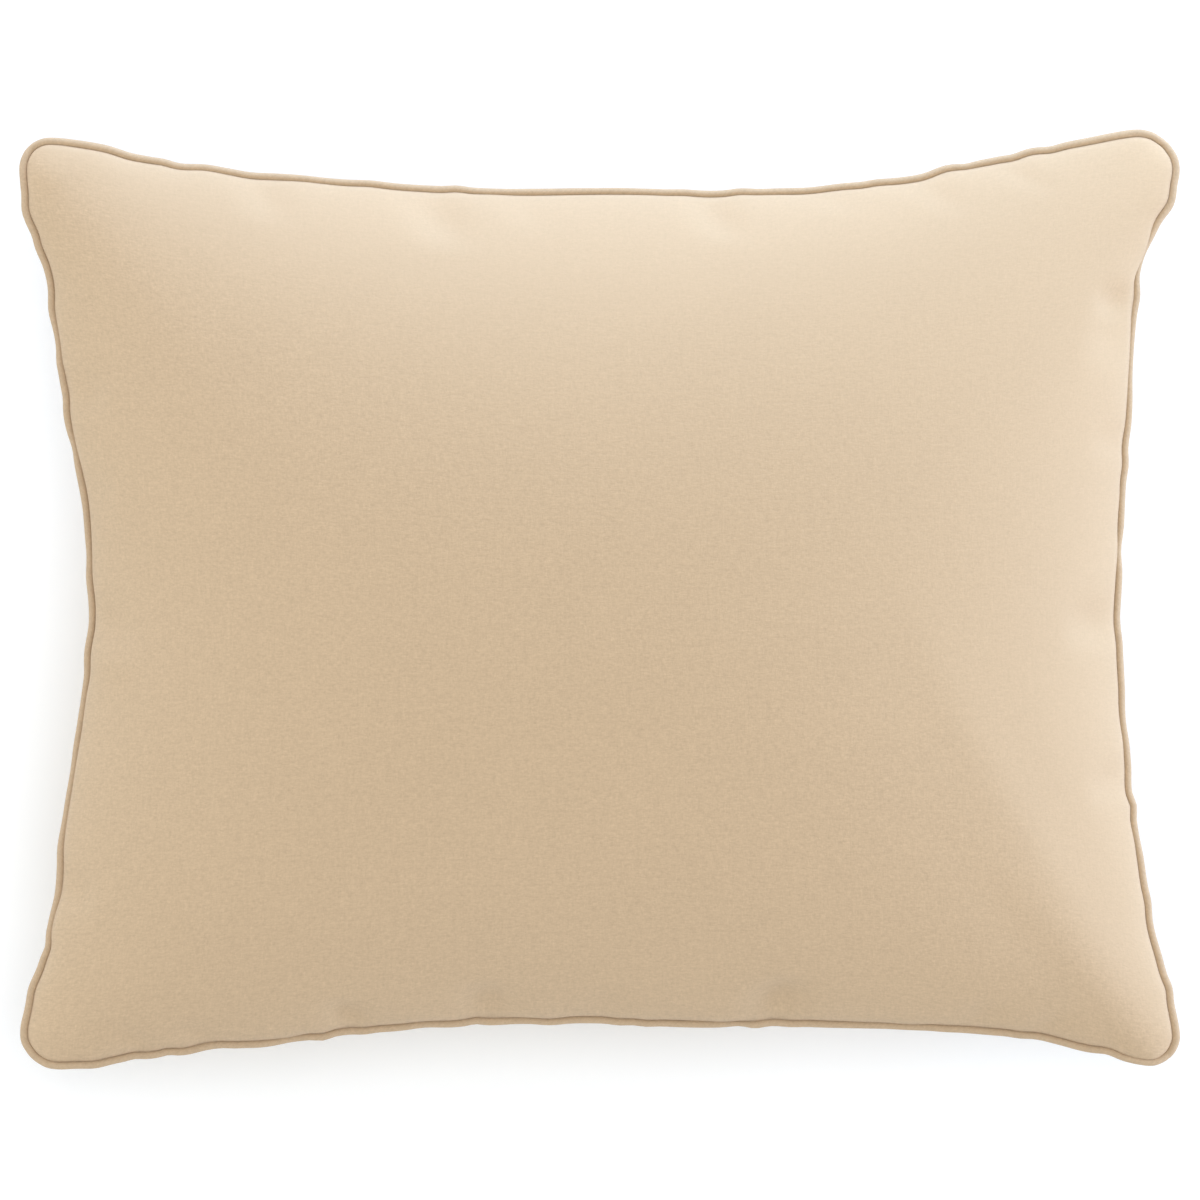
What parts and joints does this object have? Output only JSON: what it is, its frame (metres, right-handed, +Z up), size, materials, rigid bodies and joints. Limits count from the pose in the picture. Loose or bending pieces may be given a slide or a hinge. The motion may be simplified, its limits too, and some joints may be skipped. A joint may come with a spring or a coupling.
{
  "type": "back cushion",
  "caption": "Filled rectangular back cushion with eared corners, a crowned linen-like cover and a corded welt round its seam.",
  "frame": {"origin": "middle of the outline, on the surface that the back rests on", "axes": "+X towards the cushion's right side as seen face on, +Y towards its top edge, +Z up out of its face"},
  "size_m": [0.6475, 0.5247, 0.1794],
  "materials": {
    "cover_cloth": "matt linen-like plain weave with fine slubs both ways, tan",
    "welt_cloth": "the same cloth cut on the bias over a round cord, tan"
  },
  "bodies": {
    "root": {"cushion_cover": "cover_cloth", "welt": "welt_cloth"}
  },
  "joints": []
}
